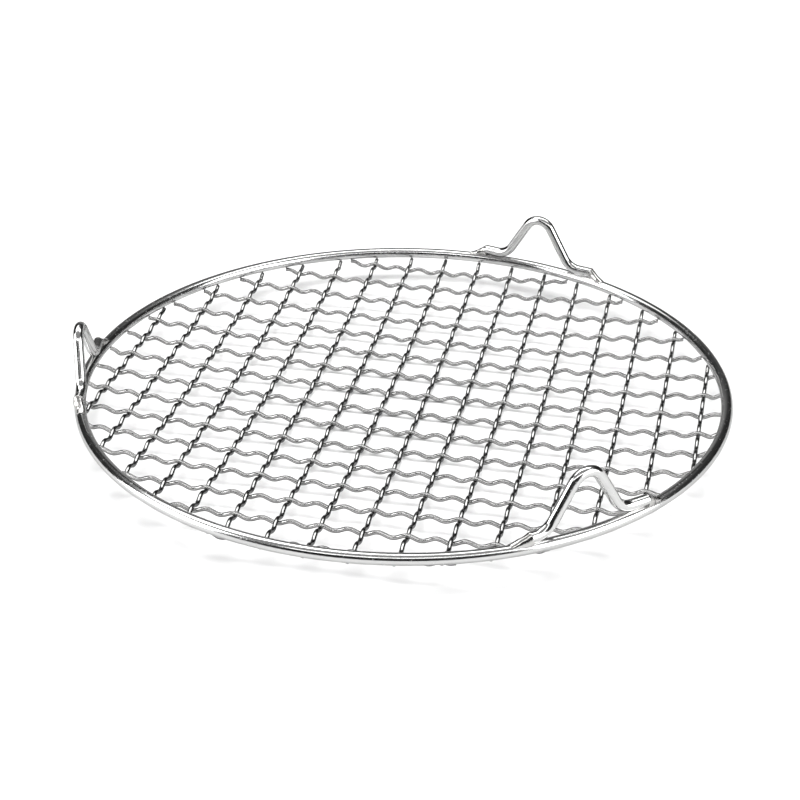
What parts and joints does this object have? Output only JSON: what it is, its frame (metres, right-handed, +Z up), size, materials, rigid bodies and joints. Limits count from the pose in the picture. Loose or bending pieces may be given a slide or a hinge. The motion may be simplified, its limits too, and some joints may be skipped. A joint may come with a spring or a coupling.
{
  "type": "cooling rack",
  "caption": "Round wire cooling rack: woven crimped mesh on a welded wire ring with bent-wire feet, for cooling or draining baked food.",
  "frame": {"origin": "under the ring's centre, at the height of the lowest mesh wire, which is what the rack lies on", "axes": "+Z up, from the mesh towards the feet: the rack is stored upside down, lying on its mesh with its feet in the air, and is turned over for use; the feet are close to 60, 180 and 300 degrees from +X about +Z"},
  "size_m": [0.22, 0.22, 0.0314],
  "materials": {
    "ring_steel": "polished stainless steel wire",
    "foot_steel": "polished stainless steel wire",
    "weld_steel": "polished weld bead",
    "mesh_steel": "bright crimped stainless steel wire"
  },
  "bodies": {
    "root": {"front_foot": "foot_steel", "front_foot_weld_a": "weld_steel", "front_foot_weld_b": "weld_steel", "left_foot": "foot_steel", "left_foot_weld_a": "weld_steel", "left_foot_weld_b": "weld_steel", "rear_foot": "foot_steel", "rear_foot_weld_a": "weld_steel", "rear_foot_weld_b": "weld_steel", "ring": "ring_steel", "warp_wire_01": "mesh_steel", "warp_wire_02": "mesh_steel", "warp_wire_03": "mesh_steel", "warp_wire_04": "mesh_steel", "warp_wire_05": "mesh_steel", "warp_wire_06": "mesh_steel", "warp_wire_07": "mesh_steel", "warp_wire_08": "mesh_steel", "warp_wire_09": "mesh_steel", "warp_wire_10": "mesh_steel", "warp_wire_11": "mesh_steel", "warp_wire_12": "mesh_steel", "warp_wire_13": "mesh_steel", "warp_wire_14": "mesh_steel", "warp_wire_15": "mesh_steel", "warp_wire_16": "mesh_steel", "weft_wire_01": "mesh_steel", "weft_wire_02": "mesh_steel", "weft_wire_03": "mesh_steel", "weft_wire_04": "mesh_steel", "weft_wire_05": "mesh_steel", "weft_wire_06": "mesh_steel", "weft_wire_07": "mesh_steel", "weft_wire_08": "mesh_steel", "weft_wire_09": "mesh_steel", "weft_wire_10": "mesh_steel", "weft_wire_11": "mesh_steel", "weft_wire_12": "mesh_steel", "weft_wire_13": "mesh_steel", "weft_wire_14": "mesh_steel", "weft_wire_15": "mesh_steel", "weft_wire_16": "mesh_steel"}
  },
  "joints": []
}
